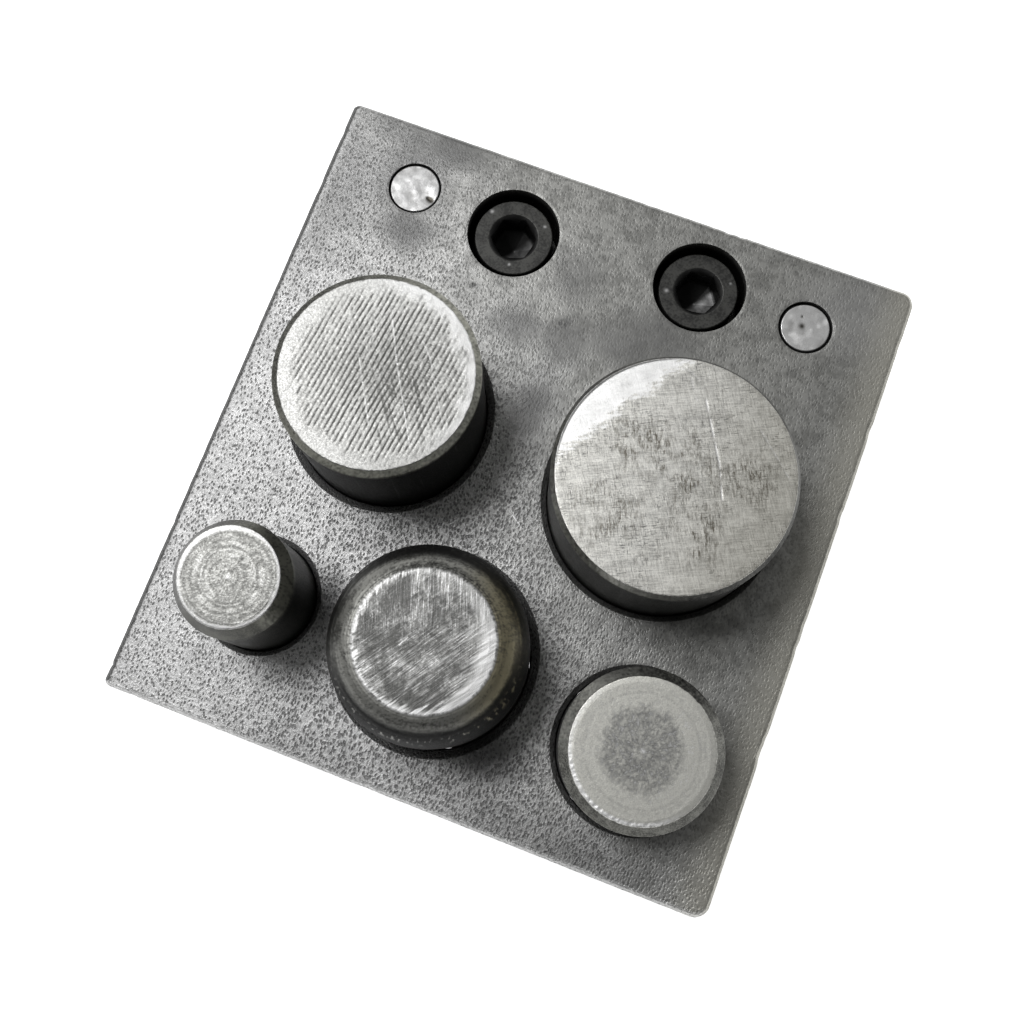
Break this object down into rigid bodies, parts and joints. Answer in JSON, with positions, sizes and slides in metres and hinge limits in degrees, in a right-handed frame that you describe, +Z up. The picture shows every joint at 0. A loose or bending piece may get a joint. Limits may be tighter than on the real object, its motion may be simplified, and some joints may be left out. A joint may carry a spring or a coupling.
{
  "type": "jewelers disc cutter",
  "caption": "Bench block of a guide plate and a die plate with a thin slot between them for sheet metal, and loose round punches that slide down through matched bores to cut discs.",
  "frame": {"origin": "middle of the underside of the die plate, on the bench", "axes": "+X to the right along the row of screws, +Y to the back where the screws are, +Z up along the punches"},
  "size_m": [0.072, 0.0762, 0.0427],
  "materials": {
    "blasted_steel": "fine blasted grey steel",
    "ground_steel": "ground",
    "black_oxide": "black oxide",
    "dowel_steel": "ground and tumbled",
    "filed_punch": "coarsely filed face",
    "ground_punch": "ground face",
    "turned_punch": "turned rings",
    "worn_punch": "worn round shoulder",
    "grey_punch": "dull turned rings"
  },
  "bodies": {
    "block": {"guide_plate": "blasted_steel", "spacer_strip": "ground_steel", "die_plate": "blasted_steel", "screw_left": "black_oxide", "screw_right": "black_oxide", "dowel_left": "dowel_steel", "dowel_right": "dowel_steel"},
    "rear_left_punch": {"punch_rear_left": "filed_punch"},
    "rear_right_punch": {"punch_rear_right": "ground_punch"},
    "front_left_punch": {"punch_front_left": "turned_punch"},
    "front_middle_punch": {"punch_front_middle": "worn_punch"},
    "front_right_punch": {"punch_front_right": "grey_punch"}
  },
  "joints": [
    {"name": "rear_left_slide", "type": "slide", "parent": "block", "child": "rear_left_punch", "axis": [0, 0, 1], "range_m": [0, 0.032]},
    {"name": "rear_right_slide", "type": "slide", "parent": "block", "child": "rear_right_punch", "axis": [0, 0, 1], "range_m": [0, 0.032]},
    {"name": "front_left_slide", "type": "slide", "parent": "block", "child": "front_left_punch", "axis": [0, 0, 1], "range_m": [0, 0.032]},
    {"name": "front_middle_slide", "type": "slide", "parent": "block", "child": "front_middle_punch", "axis": [0, 0, 1], "range_m": [0, 0.032]},
    {"name": "front_right_slide", "type": "slide", "parent": "block", "child": "front_right_punch", "axis": [0, 0, 1], "range_m": [0, 0.032]}
  ]
}
